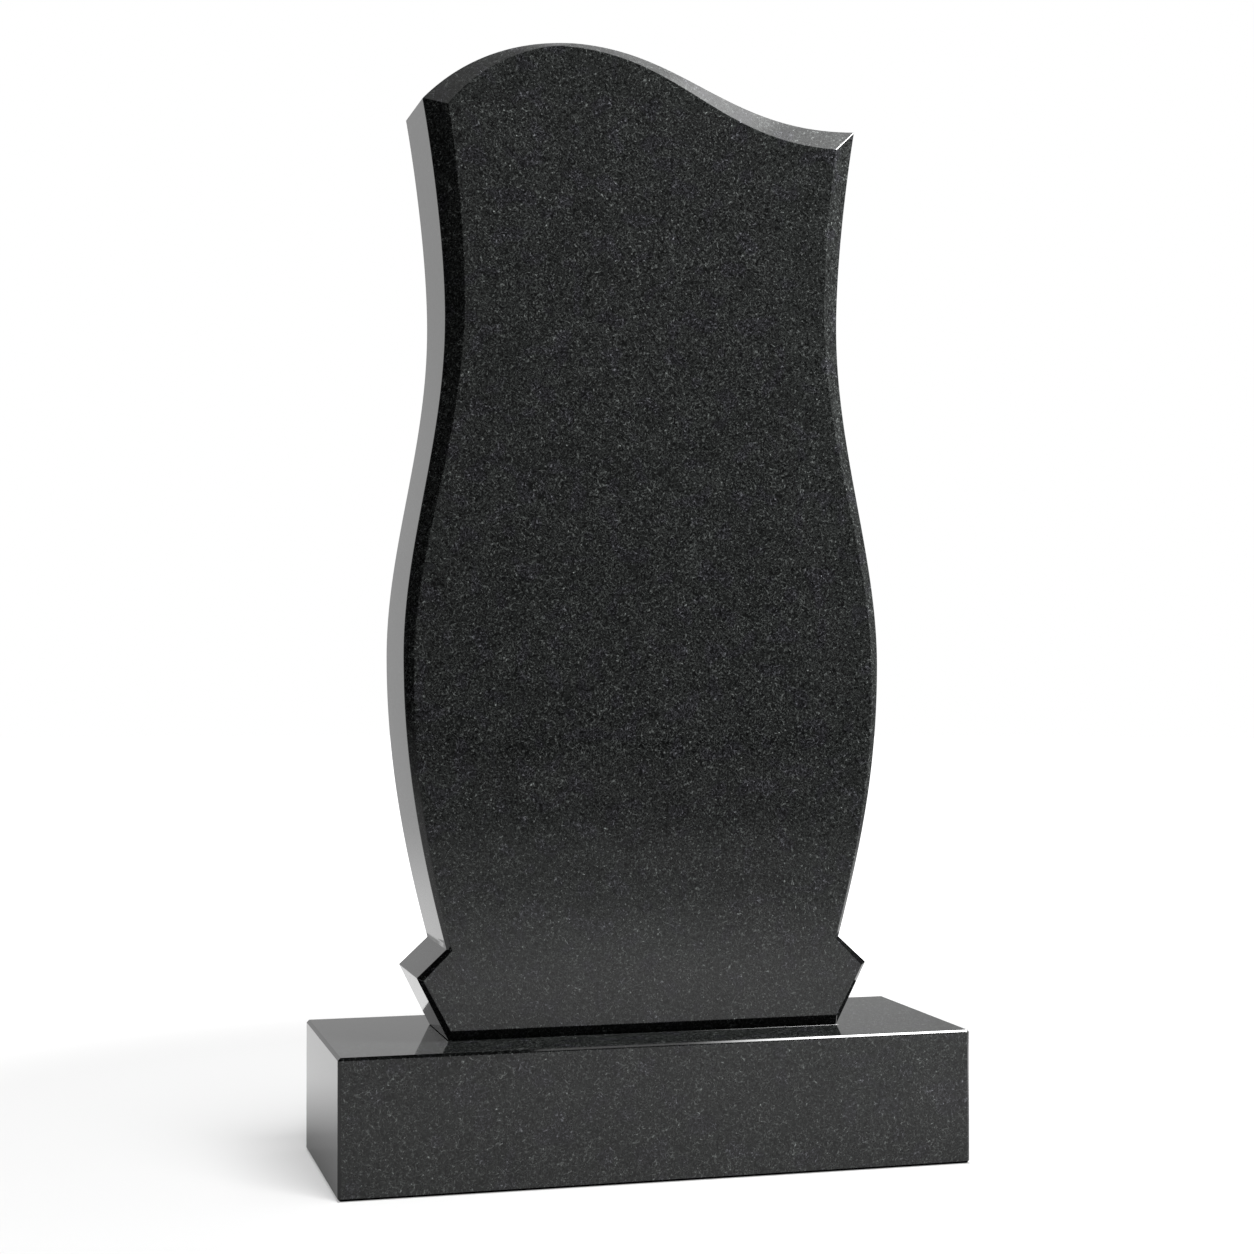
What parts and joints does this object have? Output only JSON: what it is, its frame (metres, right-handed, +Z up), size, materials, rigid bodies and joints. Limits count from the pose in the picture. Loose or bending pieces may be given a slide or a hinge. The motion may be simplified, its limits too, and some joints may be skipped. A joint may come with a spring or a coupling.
{
  "type": "headstone",
  "caption": "Upright polished black granite headstone: a waisted slab with a wavy top, a pointed foot and a widening front chamfer, on a low oblong plinth.",
  "frame": {"origin": "middle of the plinth's underside, on the ground", "axes": "+Z up, -Y towards the viewer of the polished front, +X to the viewer's right"},
  "size_m": [0.712, 0.267, 1.2522],
  "materials": {
    "polished_granite": "mirror-polished fine-grained black granite, charcoal ground with small pale needle-like flecks"
  },
  "bodies": {
    "root": {"plinth": "polished_granite", "stele": "polished_granite"}
  },
  "joints": []
}
